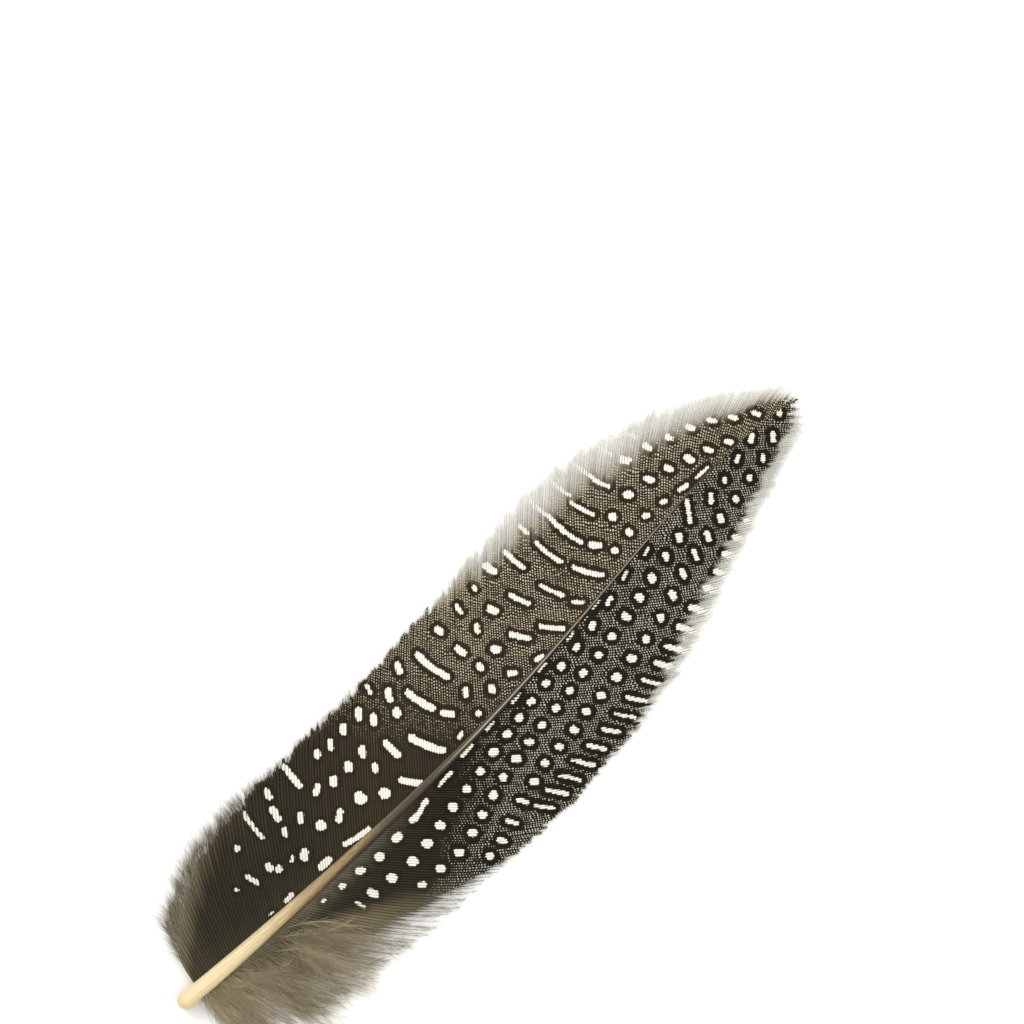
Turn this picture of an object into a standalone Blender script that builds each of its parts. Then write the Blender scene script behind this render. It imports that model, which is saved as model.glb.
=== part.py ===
"""A guinea fowl feather lying on a table with its spotted side up.

Metres, +Z up. The shaft runs along +X from the quill end to the tip, the broad outer vane is on
the +Y side, and the origin is the bottom centre of the feather's box.
"""
import math

import bmesh
import bpy
import numpy as np

# Shaft
SHAFT_LENGTH = 0.190
CHORD_SHARE = 0.997                 # straight distance over length along the shaft
SIDE_BEND = (-0.088, 0.126, -0.436, 0.619)  # S-bend seen from above, as shares of the length
QUILL_RADIUS = 0.0021
SHAFT_TAPER = 1.55                  # how fast the shaft thins towards the tip
TIP_RADIUS = 0.00032
QUILL_CAP = 0.0020                  # length of the rounded end of the quill
ARCH = 0.0056                       # rise of the shaft between its two ends
SHAFT_RINGS = 44

# Vanes, one barb law for each side: place of the root along the shaft (share of its length),
# barb length (share of the shaft's length), and the barb's angle to the shaft at its root and end
OUTER_VANE = (
    (0.030, 0.086, 86, 74),
    (0.075, 0.134, 76, 62),
    (0.140, 0.162, 64, 51),
    (0.250, 0.190, 53, 41),
    (0.400, 0.212, 49, 37),
    (0.560, 0.222, 47, 34),
    (0.670, 0.197, 44, 30),
    (0.780, 0.152, 37, 25),
    (0.880, 0.098, 28, 17),
    (0.975, 0.036, 13, 6),
)
INNER_VANE = (
    (0.030, 0.086, 86, 76),
    (0.080, 0.122, 76, 62),
    (0.150, 0.162, 58, 47),
    (0.250, 0.202, 46, 38),
    (0.400, 0.222, 43, 35),
    (0.560, 0.214, 40, 30),
    (0.670, 0.184, 37, 26),
    (0.780, 0.146, 34, 24),
    (0.880, 0.102, 30, 20),
    (0.975, 0.036, 18, 12),
)
LOCKS = 26                          # locks of barbs on each side
LOCK_OUTLINE = (0.0, 0.90, 1.0, 0.86)  # how far each column of a lock fills its gap, in turn
BARB_STEPS = 8                      # faces along a barb
STEP_EASE = 1.25                    # above 1, the faces are shorter towards the edge
NOTCH = 0.13                        # how far a gap between locks cuts in, as a share of the barb
DOWN_NOTCH = 0.24                   # the same in the loose down at the base
DOWN_END = 0.13                     # share of the shaft where the down gives way to the vane
UNEVEN = 0.035                      # how much the columns of one lock differ in length
BASE_THICKNESS = 0.0009             # wall of the vanes at the shaft, at the quill's end
TIP_SHARE = 0.38                    # the same at the tip, as a share of that
EDGE_SHARE = 0.60                   # thickness at the edge over thickness at the shaft
SINK = 0.35                         # top of the vane above the shaft's axis, in shaft radii
DROOP_POWER = 1.7                   # how the vane curves down from the shaft to its edge
FLAT_SHARE = 0.20                   # part of the droop that lies flat on the table
SEED = 11


def through_knots(x, knots, column):
    """A smooth curve through a few knots: cubic pieces whose slopes are central differences."""
    table = np.array(knots, float)
    place, value = table[:, 0], table[:, column]
    slope = np.gradient(value, place)
    i = np.clip(np.searchsorted(place, x) - 1, 0, len(place) - 2)
    gap = place[i + 1] - place[i]
    t = (x - place[i]) / gap
    return ((1 + 2 * t) * (1 - t) ** 2 * value[i] + t * (1 - t) ** 2 * gap * slope[i]
            + t * t * (3 - 2 * t) * value[i + 1] + t * t * (t - 1) * gap * slope[i + 1])


def shaft_radius(share):
    """Thins as a power of what is left of the length, and is rounded off at the quill end."""
    body = np.maximum(QUILL_RADIUS * (1 - share) ** SHAFT_TAPER, TIP_RADIUS)
    cap = np.clip(share * SHAFT_LENGTH / QUILL_CAP, 0.0, 1.0)
    return body * np.sqrt(1 - 0.9 * (1 - cap) ** 2)


def axis_height(share):
    """The quill rests on its own radius, the tip on the tip radius, and the shaft arches between."""
    share = np.clip(share, 0.0, 1.0)
    ends = QUILL_RADIUS * (1 - share) + TIP_RADIUS * share
    return ends + ARCH * np.sin(math.pi * share)


def bent(along, across):
    """Puts a point given along and across a straight shaft beside the bent one, seen from above.

    The bend is length * u (1 - u) (a + b u + c u^2 + d u^3), and slope is its slope along u.
    """
    a, b, c, d = SIDE_BEND
    share = np.clip(along / SHAFT_LENGTH, 0.0, 1.0)
    side = SHAFT_LENGTH * share * (1 - share) * (a + share * (b + share * (c + share * d)))
    slope = (a + 2 * (b - a) * share + 3 * (c - b) * share ** 2
             + 4 * (d - c) * share ** 3 - 5 * d * share ** 4)
    reach = np.hypot(CHORD_SHARE, slope)
    ahead_x, ahead_y = CHORD_SHARE / reach, slope / reach
    past = along - share * SHAFT_LENGTH
    x = CHORD_SHARE * SHAFT_LENGTH * share + past * ahead_x - across * ahead_y
    y = side + past * ahead_y + across * ahead_x
    return x, y


def barb(root, knots, t, cut):
    """Along and across the shaft at share t of a barb: it leaves at one angle and bends to another."""
    length = through_knots(root, knots, 1) * SHAFT_LENGTH * cut
    start = np.radians(through_knots(root, knots, 2))
    end = np.radians(through_knots(root, knots, 3))
    early, late = t - t * t / 2, t * t / 2
    along = root * SHAFT_LENGTH + length * (early * np.cos(start) + late * np.cos(end))
    across = length * (early * np.sin(start) + late * np.sin(end))
    return along, across


def half_width(along, knots):
    """The vane's reach across the shaft at a place along it, read from the ends of its barbs."""
    roots = np.linspace(knots[0][0], knots[-1][0], 200)
    ends = barb(roots, knots, 1.0, 1.0)
    return np.interp(along, ends[0], ends[1])


def lock_cuts(roots, chance):
    """The share of full length that each column of barbs keeps: short in the gaps between locks."""
    lock, place = np.divmod(np.arange(len(roots)), len(LOCK_OUTLINE))
    depth = np.where(roots < DOWN_END, DOWN_NOTCH, NOTCH) * chance.uniform(0.6, 1.3, len(roots))
    filled = np.array(LOCK_OUTLINE)[place]
    return 1 - depth * (1 - filled) - UNEVEN * chance.random(len(roots))


def root_thickness(along):
    """The wall at the shaft thins evenly from the quill to the tip."""
    share = np.clip(along / SHAFT_LENGTH, 0.0, 1.0)
    return BASE_THICKNESS * (1 - (1 - TIP_SHARE) * share)


def underside(along, across, knots):
    """Height under the vane: highest at the shaft, down to the table at the edge, flat outside."""
    share = np.clip(along / SHAFT_LENGTH, 0.0, 1.0)
    top = axis_height(share) + SINK * shaft_radius(share)
    root = np.maximum(top - root_thickness(along), 0.0)
    out = np.abs(across) / np.maximum(half_width(along, knots), SHAFT_LENGTH / 100)
    drop = (1 + FLAT_SHARE) * (1 - out ** DROOP_POWER) - FLAT_SHARE
    return root * np.clip(drop, 0.0, 1.0)


def vane_points():
    """Places of the grid's points, as an array of columns along the shaft by rows across it."""
    chance = np.random.default_rng(SEED)
    roots = np.linspace(OUTER_VANE[0][0], OUTER_VANE[-1][0], LOCKS * len(LOCK_OUTLINE))
    steps = 1 - np.linspace(1.0, 0.0, BARB_STEPS + 1) ** STEP_EASE
    sides = []
    for knots, sign in ((INNER_VANE, -1), (OUTER_VANE, 1)):
        cut = lock_cuts(roots, chance)
        along, across = barb(roots[:, None], knots, steps[None, :], cut[:, None])
        height = underside(along, across, knots)
        x, y = bent(along, sign * across)
        sides.append(np.stack((x, y, height), axis=-1))
    inner, outer = sides
    return np.concatenate((inner[:, :0:-1], outer), axis=1)


def make_material(name, colour, roughness):
    material = bpy.data.materials.new(name)
    material.use_nodes = True
    shader = material.node_tree.nodes["Principled BSDF"]
    shader.inputs["Base Color"].default_value = (*colour, 1.0)
    shader.inputs["Roughness"].default_value = roughness
    shader.inputs["Metallic"].default_value = 0.0
    return material


def make_shaft(collection):
    """A bevelled curve with a radius at each point and filled caps, then a welded mesh."""
    shares = np.linspace(0.0, 1.0, SHAFT_RINGS + 1)
    cap_shares = np.array([0.15, 0.40, 0.75, 1.0]) * QUILL_CAP / SHAFT_LENGTH
    shares = np.concatenate(([0.0], cap_shares, shares[2:]))
    x, y = bent(shares * SHAFT_LENGTH, np.zeros_like(shares))
    z, radius = axis_height(shares), shaft_radius(shares)

    path = bpy.data.curves.new("shaft_path", "CURVE")
    path.dimensions = "3D"
    path.bevel_depth = 1.0
    path.bevel_resolution = 3
    path.use_fill_caps = True
    spline = path.splines.new("POLY")
    spline.points.add(len(shares) - 1)
    for point, place in zip(spline.points, zip(x, y, z, radius)):
        point.co = (*place[:3], 1.0)
        point.radius = place[3]
    curve = bpy.data.objects.new("shaft_curve", path)
    collection.objects.link(curve)

    view = bpy.context.evaluated_depsgraph_get()
    mesh = bpy.data.meshes.new_from_object(curve.evaluated_get(view), depsgraph=view)
    welded = bmesh.new()
    welded.from_mesh(mesh)
    bmesh.ops.remove_doubles(welded, verts=welded.verts, dist=1e-6)
    bmesh.ops.recalc_face_normals(welded, faces=welded.faces)
    welded.to_mesh(mesh)
    welded.free()
    shaft = bpy.data.objects.new("shaft", mesh)
    shaft.matrix_world = curve.matrix_world.copy()
    collection.objects.link(shaft)
    bpy.data.objects.remove(curve)
    shaft.hide_render = True
    shaft.display_type = "WIRE"
    return shaft


def make_vanes(collection, shaft, material):
    """Both vanes as one grid laid out by the barb laws, given a wall, then joined to the shaft."""
    points = vane_points()
    columns, rows = points.shape[0] - 1, points.shape[1] - 1
    sheet = bmesh.new()
    bmesh.ops.create_grid(sheet, x_segments=columns, y_segments=rows, size=0.5)
    place_of = {}
    for vert in sheet.verts:
        i = round((vert.co.x + 0.5) * columns)
        j = round((vert.co.y + 0.5) * rows)
        place_of[vert.index] = (i, j)
        vert.co = points[i, j]
    sheet.normal_update()
    mesh = bpy.data.meshes.new("feather")
    sheet.to_mesh(mesh)
    sheet.free()
    mesh.materials.append(material)

    feather = bpy.data.objects.new("feather", mesh)
    collection.objects.link(feather)
    thick = feather.vertex_groups.new(name="thickness")
    for index, (i, j) in place_of.items():
        out = abs(j - BARB_STEPS) / BARB_STEPS
        along_share = 1 - (1 - TIP_SHARE) * i / columns
        thick.add([index], along_share * (1 - (1 - EDGE_SHARE) * out), "REPLACE")

    wall = feather.modifiers.new("wall", "SOLIDIFY")
    wall.thickness = BASE_THICKNESS
    wall.offset = 1.0
    wall.vertex_group = "thickness"
    wall.thickness_vertex_group = 0.0
    join = feather.modifiers.new("shaft", "BOOLEAN")
    join.operation = "UNION"
    join.solver = "EXACT"
    join.object = shaft
    return feather


def stand_on_origin(feather, shaft):
    """Moves both objects so that the bottom centre of the finished feather is the origin."""
    base = bpy.data.objects.new("feather_base", None)
    feather.users_collection[0].objects.link(base)
    feather.parent = base
    shaft.parent = base
    view = bpy.context.evaluated_depsgraph_get()
    finished = feather.evaluated_get(view).to_mesh()
    coords = np.array([vert.co for vert in finished.vertices])
    low, high = coords.min(axis=0), coords.max(axis=0)
    base.location = (-(low[0] + high[0]) / 2, -(low[1] + high[1]) / 2, -low[2])
    print("box in mm", np.round((high - low) * 1000, 2), "triangles about", len(finished.polygons) * 2)


def main():
    for thing in list(bpy.data.objects):
        bpy.data.objects.remove(thing, do_unlink=True)
    part = bpy.data.collections.new("guinea_fowl_feather")
    cutters = bpy.data.collections.new("joined_shapes")
    for collection in (part, cutters):
        bpy.context.scene.collection.children.link(collection)
    horn = make_material("dark_barbs", (0.045, 0.036, 0.028), 0.6)
    shaft = make_shaft(cutters)
    feather = make_vanes(part, shaft, horn)
    stand_on_origin(feather, shaft)


main()
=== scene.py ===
# %% [markdown]
# # A guinea fowl feather, barb by barb
#
# A feather is one growth: a hollow quill that goes on as a solid shaft, and on each side of it a
# vane made of a few hundred barbs. Small hooks hold the barbs together like a zip. Where the
# hooks end, at the edge and at the base, the barbs come apart into loose hairs and down.
# This lesson builds each barb as its own thin strip. That costs more faces than one sheet with a
# picture on it, but the fine ridges, the ragged spots and the frayed edge then come by themselves.

import math

import bpy
import numpy as np
from mathutils import Matrix, Vector


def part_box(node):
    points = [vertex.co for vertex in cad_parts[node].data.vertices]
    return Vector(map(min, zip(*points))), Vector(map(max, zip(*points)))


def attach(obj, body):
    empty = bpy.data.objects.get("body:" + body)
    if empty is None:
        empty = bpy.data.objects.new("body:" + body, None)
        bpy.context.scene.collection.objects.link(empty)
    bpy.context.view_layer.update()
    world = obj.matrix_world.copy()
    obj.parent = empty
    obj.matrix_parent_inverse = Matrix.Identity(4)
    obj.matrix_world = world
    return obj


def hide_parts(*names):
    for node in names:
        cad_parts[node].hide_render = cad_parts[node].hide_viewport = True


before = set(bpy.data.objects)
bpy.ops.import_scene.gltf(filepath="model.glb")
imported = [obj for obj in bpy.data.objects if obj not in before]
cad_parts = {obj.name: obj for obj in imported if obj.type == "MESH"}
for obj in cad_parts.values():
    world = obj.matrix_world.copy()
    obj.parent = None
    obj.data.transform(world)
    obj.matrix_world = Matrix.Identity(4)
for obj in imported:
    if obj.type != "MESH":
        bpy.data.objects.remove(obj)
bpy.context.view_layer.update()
feather_low, feather_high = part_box("feather")
print("solid model, mm", [round(1000 * (b - a), 1) for a, b in zip(feather_low, feather_high)])

# %% [markdown]
# ## The shaft's line
#
# Seen from above the shaft has a slight S-bend, and seen from the side it arches between the
# quill's end and the tip. Both could be drawn as curves by hand. A formula is used instead,
# because every barb has to find its own root on the line, and numpy can then work out all of
# them at once. Places on the feather are given as "along" and "across" a straight shaft, and
# `laid_out` bends them to the real one.

# %% The shaft's line
MM = 0.001
SHAFT_LENGTH = 0.190     # along its curve
CHORD_SHARE = 0.997      # of that length, the straight way from the quill's end to the tip
SIDE_BEND = (-0.088, 0.126, -0.436, 0.619)     # a, b, c and d of `side_shift`
QUILL_RADIUS = 0.0021
TIP_RADIUS = 0.00032
ARCH = 0.0056            # how high the middle of the shaft is lifted
TAPER_POWER = 1.55


def soft_step(low, high, value):
    """0 below low, 1 above high, and between them the cubic 3t^2 - 2t^3."""
    t = np.clip((value - low) / (high - low), 0.0, 1.0)
    return t * t * (3 - 2 * t)


def through_knots(x, knots, column):
    """A smooth curve through a few knots: cubic pieces whose slopes are central differences."""
    table = np.array(knots, float)
    place, value = table[:, 0], table[:, column]
    slope = np.gradient(value, place)
    i = np.clip(np.searchsorted(place, x) - 1, 0, len(place) - 2)
    gap = place[i + 1] - place[i]
    t = (x - place[i]) / gap
    return ((1 + 2 * t) * (1 - t) ** 2 * value[i] + t * (1 - t) ** 2 * gap * slope[i]
            + t * t * (3 - 2 * t) * value[i + 1] + t * t * (t - 1) * gap * slope[i + 1])


def shaft_radius(share):
    """Quill radius times (what is left of the length) to the power 1.55, never below the tip's."""
    left = np.clip(1 - share, 0.0, 1.0)
    return np.maximum(QUILL_RADIUS * left ** TAPER_POWER, TIP_RADIUS)


def axis_height(share):
    """A straight fall from the quill's radius to the tip's, plus one arch of a sine."""
    share = np.clip(share, 0.0, 1.0)
    ends = QUILL_RADIUS * (1 - share) + TIP_RADIUS * share
    return ends + ARCH * np.sin(np.pi * share)


def side_shift(share):
    """length * u (1 - u) (a + b u + c u^2 + d u^3): zero at both ends, one bend to each side."""
    a, b, c, d = SIDE_BEND
    return SHAFT_LENGTH * share * (1 - share) * (a + share * (b + share * (c + share * d)))


def bent(along, across):
    """Goes along the bent line, then straight out beside it: line(u) + across * its normal."""
    a, b, c, d = SIDE_BEND
    share = np.clip(along / SHAFT_LENGTH, 0.0, 1.0)
    slope = (a + 2 * (b - a) * share + 3 * (c - b) * share ** 2
             + 4 * (d - c) * share ** 3 - 5 * d * share ** 4)
    reach = np.hypot(CHORD_SHARE, slope)
    ahead_x, ahead_y = CHORD_SHARE / reach, slope / reach
    past = along - share * SHAFT_LENGTH
    x = CHORD_SHARE * SHAFT_LENGTH * share + past * ahead_x - across * ahead_y
    return x, side_shift(share) + past * ahead_y + across * ahead_x


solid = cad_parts["feather"].data
solid_points = np.zeros(len(solid.vertices) * 3, np.float32)
solid.vertices.foreach_get("co", solid_points)
solid_points = solid_points.reshape(-1, 3)
QUILL_END_BAND = 0.0001
at_end = solid_points[:, 0] < feather_low.x + QUILL_END_BAND
QUILL_END = np.array([feather_low.x, solid_points[at_end, 1].mean(), 0.0])


def laid_out(along, across, height):
    """Points of the row frame for places along and across the shaft, at heights over the table."""
    x, y = bent(along, across)
    return np.stack(np.broadcast_arrays(x, y, height), axis=-1) + QUILL_END


print("quill end, mm", np.round(QUILL_END / MM, 2))

# %% [markdown]
# ## How the barbs lie
#
# The solid model gives each vane's outline: every barb ends where its law says. A real barb is
# straighter than that law. It leaves the shaft at one angle, runs almost straight as long as the
# hooks hold it, and swings towards the tip only in its loose end. So each row below keeps the
# solid's four numbers, which fix the end point, and adds the angle at which the barb really
# leaves. Its root and its length are then found back from the end point.
#
# Two more numbers say where on the barb the hooks end and where its pale part begins.

# %% The barb laws
# for the end point: root (share of the shaft), length (share of the shaft), angle at root, at end
# then: angle the barb leaves at, share held by hooks, share at which it turns pale
OUTER_LAW = (
    (0.030, 0.086, 86, 74, 84, 0.34, 1.30),
    (0.075, 0.134, 76, 62, 74, 0.80, 1.30),
    (0.140, 0.162, 64, 51, 62, 0.95, 1.20),
    (0.250, 0.190, 53, 41, 52, 0.96, 1.08),
    (0.400, 0.212, 49, 37, 48, 0.96, 0.88),
    (0.560, 0.222, 47, 34, 47, 0.95, 0.66),
    (0.670, 0.197, 44, 30, 46, 0.94, 0.63),
    (0.780, 0.152, 37, 25, 42, 0.93, 0.58),
    (0.880, 0.098, 28, 17, 34, 0.93, 0.55),
    (0.975, 0.036, 13, 6, 18, 0.94, 0.52),
    (0.995, 0.010, 6, 3, 12, 0.94, 0.50),
)
INNER_LAW = (
    (0.030, 0.086, 86, 76, 86, 0.18, 1.30),
    (0.080, 0.122, 76, 62, 75, 0.24, 1.30),
    (0.150, 0.162, 58, 47, 58, 0.44, 1.20),
    (0.250, 0.202, 46, 38, 48, 0.96, 1.05),
    (0.400, 0.222, 43, 35, 46, 0.96, 0.98),
    (0.560, 0.214, 40, 30, 46, 0.95, 0.82),
    (0.670, 0.184, 37, 26, 45, 0.94, 0.77),
    (0.780, 0.146, 34, 24, 42, 0.94, 0.75),
    (0.880, 0.102, 30, 20, 37, 0.94, 0.70),
    (0.975, 0.036, 18, 12, 26, 0.94, 0.60),
    (0.995, 0.010, 8, 5, 14, 0.94, 0.58),
)
WORN_END = 1.001         # share of the shaft that no barb reaches past, give or take a little
WORN_SLANT = 1.7         # by how much that share falls for each metre across the shaft
LATE = 2.5               # power of the share at which a barb swings from its first to its last angle
BASE_THICKNESS = 0.0009  # of the vane's wall where it leaves the shaft at the base
TIP_SHARE = 0.38         # what is left of it at the tip
EDGE_SHARE = 0.60        # and at the edge
SINK = 0.35              # where the vane meets the shaft, in radii over its axis
DROOP_POWER = 1.7
FLAT_SHARE = 0.20        # how far the droop is carried on past the table, to lie flat on it


# %% The barbs' paths


def swing(t, late=LATE):
    """How much of the first and of the last direction is in the way covered up to share t, when
    the direction goes over from one to the other as t^late: t - t^(late+1)/(late+1) and the rest."""
    last = t ** (late + 1) / (late + 1)
    return t - last, last


def found_back(law):
    """Rows of root, length, first angle, last angle, held and pale share, with the end points of
    the law: the length is the reach across over the mean sine, and the root is what then remains."""
    root, length, start, end, leaves, held, pale = np.array(law).T
    start, end, leaves = np.radians(start), np.radians(end), np.radians(leaves)
    end_along = root + length * (np.cos(start) + np.cos(end)) / 2
    end_across = length * (np.sin(start) + np.sin(end)) / 2
    first, last = swing(1.0)
    new_length = end_across / (first * np.sin(leaves) + last * np.sin(end))
    new_root = end_along - new_length * (first * np.cos(leaves) + last * np.cos(end))
    return np.stack((new_root, new_length, leaves, end, held, pale), -1)


OUTER_VANE, INNER_VANE = found_back(OUTER_LAW), found_back(INNER_LAW)


def barb_path(root, knots, t, cut=1.0):
    """Along and across at share t: root + length * (first part * first direction + last part *
    last direction)."""
    length = through_knots(root, knots, 1) * SHAFT_LENGTH * cut
    start, end = through_knots(root, knots, 2), through_knots(root, knots, 3)
    early, late = swing(t)
    along = root * SHAFT_LENGTH + length * (early * np.cos(start) + late * np.cos(end))
    across = length * (early * np.sin(start) + late * np.sin(end))
    return along, across


def half_width(along, knots):
    """The vane's reach across the shaft at a place along it, read from the ends of its barbs."""
    roots = np.linspace(knots[0][0], knots[-1][0], 200)
    ends = barb_path(roots, knots, 1.0)
    return np.interp(along, ends[0], ends[1])


def vane_height(along, across, knots):
    """Height of the vane's upper face: the shaft's height times a droop 1 - out^1.7, flat on the
    table at the edge, plus the wall, which thins towards the tip and the edge."""
    share = np.clip(along / SHAFT_LENGTH, 0.0, 1.0)
    out = np.clip(across / np.maximum(half_width(along, knots), SHAFT_LENGTH / 100), 0.0, 1.2)
    wall = BASE_THICKNESS * (1 - (1 - TIP_SHARE) * share)
    top = axis_height(share) + SINK * shaft_radius(share)
    root = np.maximum(top - wall, 0.0)
    drop = np.clip((1 + FLAT_SHARE) * (1 - out ** DROOP_POWER) - FLAT_SHARE, 0.0, 1.0)
    return root * drop + wall * (1 - (1 - EDGE_SHARE) * np.minimum(out, 1.0))


for name, knots in (("outer", OUTER_VANE), ("inner", INNER_VANE)):
    middle = half_width(0.5 * SHAFT_LENGTH, knots)
    print(name, "vane, reach at half length, mm", round(float(middle) / MM, 1))

# %% [markdown]
# ## Meshes from arrays
#
# Every piece here is a bundle of closed tubes: barbs, hairs and the shaft itself. A tube is an
# array of rings, a ring is an array of points. One function turns such an array into a mesh, with
# all its faces worked out as whole arrays, because a Python loop over half a million faces would
# take minutes.

# %% Tubes to a mesh
pieces = {}


def tube_faces(tubes, rings, sides):
    """Corner numbers: a quad between each pair of rings and sides, and a cap of one face at each
    end, turned so that all of them face outwards."""
    first = (np.arange(tubes) * rings * sides)[:, None, None]
    ring = np.arange(rings - 1)[None, :, None] * sides
    side = np.arange(sides)[None, None, :]
    after = (side + 1) % sides
    low = first + ring
    quads = np.stack((low + side, low + after, low + sides + after, low + sides + side), -1)
    start = first[:, 0] + np.arange(sides)[::-1]
    end = first[:, 0] + (rings - 1) * sides + np.arange(sides)
    return quads.reshape(-1, 4), np.concatenate((start, end))


def mesh_from_rings(name, points, corner_map, attributes):
    """A mesh object from points[tube, ring, side, xyz]. corner_map gives u, v for each face
    corner in the order of the faces, and attributes are numbers for each point."""
    tubes, rings, sides = points.shape[:3]
    quads, caps = tube_faces(tubes, rings, sides)
    corners = np.concatenate((quads.ravel(), caps.ravel()))
    sizes = np.concatenate((np.full(len(quads), 4), np.full(len(caps), sides)))
    mesh = bpy.data.meshes.new(name)
    mesh.vertices.add(tubes * rings * sides)
    mesh.vertices.foreach_set("co", points.astype(np.float32).ravel())
    mesh.loops.add(len(corners))
    mesh.loops.foreach_set("vertex_index", corners.astype(np.int32))
    mesh.polygons.add(len(sizes))
    mesh.polygons.foreach_set("loop_start", np.concatenate(([0], np.cumsum(sizes)[:-1])))
    mesh.polygons.foreach_set("loop_total", sizes)
    mesh.polygons.foreach_set("use_smooth", np.full(len(sizes), True))
    layer = mesh.uv_layers.new(name="OFBake")
    layer.data.foreach_set("uv", corner_map.astype(np.float32).ravel())
    for key, values in attributes.items():
        held = mesh.attributes.new(key, "FLOAT", "POINT")
        whole = np.broadcast_to(values, (tubes, rings, sides))
        held.data.foreach_set("value", whole.astype(np.float32).ravel())
    mesh.update(calc_edges=True)
    mesh.validate()
    piece = bpy.data.objects.new(name, mesh)
    bpy.context.scene.collection.objects.link(piece)
    pieces[name] = piece
    print(name, "has", tubes, "strands and", int((sizes - 2).sum()), "triangles")


# %% Rings and maps for strands


def unit(vectors):
    """Each vector divided by its length."""
    return vectors / np.maximum(np.linalg.norm(vectors, axis=-1, keepdims=True), 1e-12)


def hair_rings(paths, radii, sides=3):
    """Rings around each path[strand, point, xyz]: centre + radius * (cos, sin) in the plane square
    to the path, with the first direction kept level."""
    ahead = unit(np.gradient(paths, axis=1))
    level = unit(np.cross(np.array([0.0, 0.0, 1.0]), ahead) + 1e-9)
    up = np.cross(ahead, level)
    turn = 2 * np.pi * np.arange(sides) / sides
    ring = (np.cos(turn)[:, None] * level[:, :, None] + np.sin(turn)[:, None] * up[:, :, None])
    return paths[:, :, None] + ring * radii[:, :, None, None]


def tube_map(strands, rings, sides=3):
    """A map for many strands or one: each has its own tile, ring by ring and side by side, and the
    caps take two corners of the tile."""
    columns = int(math.ceil(math.sqrt(strands * 0.5)))
    rows = int(math.ceil(strands / columns))
    tile = np.stack((np.arange(strands) % columns, np.arange(strands) // columns), -1)
    ring = np.arange(rings - 1)[:, None, None]
    side = np.arange(sides)[None, :, None]
    u = (ring + np.array([0, 0, 1, 1])) / rings + 0 * side
    v = (side + np.array([0, 1, 1, 0])) / sides + 0 * ring
    inside = 0.06 + 0.86 * np.stack((u, v), -1)
    quads = (tile[:, None, None, None] + inside) / (columns, rows)
    turn = 2 * np.pi * np.arange(sides) / sides
    disc = 0.02 * np.stack((np.cos(turn), np.sin(turn)), -1)
    ends = [(tile[:, None] + corner + disc) / (columns, rows) for corner in (0.035, 0.965)]
    return np.concatenate((quads.reshape(-1, 2), np.concatenate(ends).reshape(-1, 2)))


# %% [markdown]
# ## Pearl marks
#
# The ivory marks lie in lanes that start at the base, run almost with the shaft and close in on
# it at the tip. Most are round, about 2 mm across, and some are stretched into bars, above all
# on the outer vane. An image could hold them, but a mark is simple: a short line with a
# thickness. Each lane is read from a few knots, with the marks between them spaced evenly, so
# that only the turns of the lane and its odd marks are written down. Distances are in mm.

# %% Lanes of marks
# number in the lane, along the shaft, across it, length, width, lean of its long side to the shaft
INNER_LANES = (
    ((0, 39.5, 3.3, 1.7, 1.1, 10), (3, 55.0, 4.2, 2.5, 2.0, 30), (5, 66.0, 3.7, 2.6, 1.8, 5)),
    ((0, 68.5, 3.4, 5.6, 1.3, 165), (1, 77.0, 2.0, 4.6, 1.0, 176), (3, 92.0, 1.2, 3.4, 0.9, 178),
     (7, 127.0, 0.8, 3.0, 0.6, 178)),
    ((0, 44.4, 9.6, 3.1, 0.9, 71), (1, 48.4, 9.4, 2.8, 1.8, 65), (3, 59.2, 10.1, 2.5, 2.1, 45),
     (6, 73.7, 7.9, 2.4, 2.2, 60), (9, 88.4, 5.7, 2.3, 2.0, 25), (13, 107.1, 3.7, 2.2, 1.7, 15),
     (16, 123.2, 3.1, 2.1, 1.5, -10), (18, 136.0, 1.4, 2.8, 0.9, -12),
     (19, 143.2, 1.6, 2.2, 0.9, -10)),
    ((0, 57.4, 15.4, 2.4, 1.5, 37), (2, 67.8, 15.9, 2.3, 2.0, 60), (4, 77.0, 13.6, 2.4, 2.1, 68),
     (6, 86.0, 11.0, 2.3, 1.9, 60), (9, 99.9, 9.2, 2.2, 1.7, 45), (13, 119.0, 8.1, 2.2, 1.8, 30),
     (16, 134.4, 6.8, 2.4, 1.9, 110), (19, 150.3, 5.1, 2.5, 1.6, 125)),
    ((0, 156.0, 2.7, 6.2, 1.1, 130), (1, 161.5, 4.2, 2.6, 1.3, 135), (3, 171.8, 2.3, 2.3, 1.1, 150),
     (4, 177.3, 0.8, 2.2, 1.4, 147), (5, 185.5, 0.3, 2.0, 1.5, 100)),
    ((0, 72.0, 21.3, 2.1, 1.7, 86), (2, 80.3, 19.4, 3.3, 1.2, 62), (3, 84.9, 18.0, 3.5, 1.3, 71),
     (4, 89.8, 16.5, 2.4, 1.7, 55), (7, 103.4, 15.0, 2.4, 1.7, 76), (10, 118.1, 14.3, 2.3, 1.9, 45),
     (13, 134.0, 13.2, 2.3, 1.9, 112), (15, 144.8, 11.0, 3.2, 1.4, 115),
     (18, 159.7, 9.0, 2.5, 1.5, 122), (21, 176.2, 5.9, 2.0, 1.4, 136),
     (22, 181.3, 3.7, 2.9, 1.3, 126)),
    ((0, 87.4, 22.0, 5.0, 1.0, 57), (2, 95.7, 21.6, 5.2, 1.0, 62), (6, 112.9, 21.5, 5.0, 1.1, 62),
     (9, 126.5, 20.6, 5.0, 1.2, 64), (11, 136.0, 20.0, 6.0, 1.6, 66), (13, 146.3, 18.9, 6.4, 1.7, 66),
     (15, 155.1, 17.0, 6.0, 1.6, 64), (17, 164.0, 14.8, 5.0, 1.4, 60)),
)
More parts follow.
